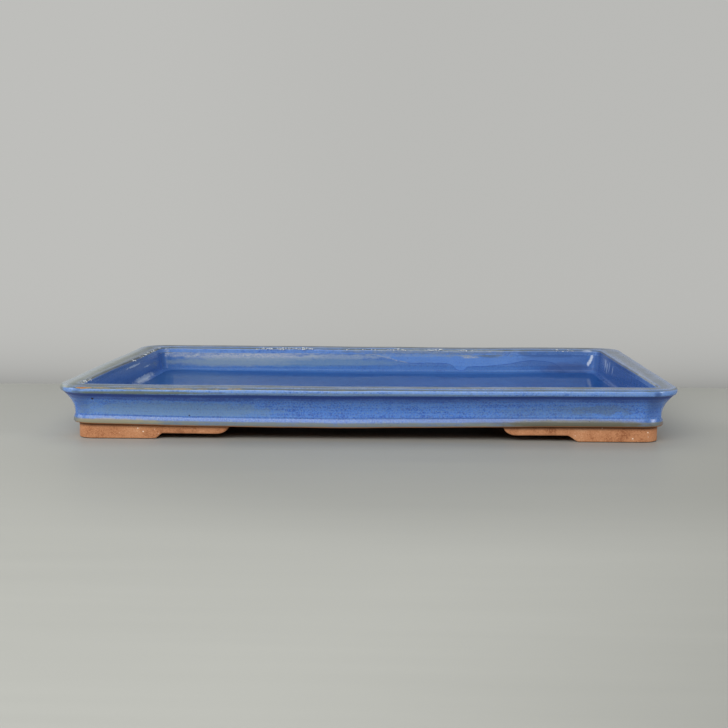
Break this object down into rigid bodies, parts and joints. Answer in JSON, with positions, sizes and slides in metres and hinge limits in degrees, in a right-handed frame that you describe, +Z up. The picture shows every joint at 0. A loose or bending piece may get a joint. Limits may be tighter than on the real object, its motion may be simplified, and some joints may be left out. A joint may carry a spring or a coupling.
{
  "type": "bonsai pot",
  "caption": "Shallow rectangular bonsai pot, slab built, with a rolled lip, coved blue-glazed walls, a base band and bare clay stepped corner feet.",
  "frame": {"origin": "centre of the footprint, on the plane that the four feet stand on", "axes": "+X along the long side, to the right seen from the front; +Y to the back; +Z up"},
  "size_m": [0.51, 0.36, 0.0455],
  "materials": {
    "blue_glaze": "glossy mottled blue glaze, thin and olive brown on the edges",
    "bare_clay": "unglazed reddish brown stoneware with pale grog specks"
  },
  "bodies": {
    "root": {"floor_slab": "blue_glaze", "front_wall": "blue_glaze", "back_wall": "blue_glaze", "left_wall": "blue_glaze", "right_wall": "blue_glaze", "front_rim": "blue_glaze", "back_rim": "blue_glaze", "left_rim": "blue_glaze", "right_rim": "blue_glaze", "front_base_band": "blue_glaze", "back_base_band": "blue_glaze", "left_base_band": "blue_glaze", "right_base_band": "blue_glaze", "front_floor_coil": "blue_glaze", "back_floor_coil": "blue_glaze", "left_floor_coil": "blue_glaze", "right_floor_coil": "blue_glaze", "front_left_corner_coil": "blue_glaze", "front_right_corner_coil": "blue_glaze", "back_left_corner_coil": "blue_glaze", "back_right_corner_coil": "blue_glaze", "front_left_foot": "bare_clay", "front_right_foot": "bare_clay", "back_left_foot": "bare_clay", "back_right_foot": "bare_clay"}
  },
  "joints": []
}
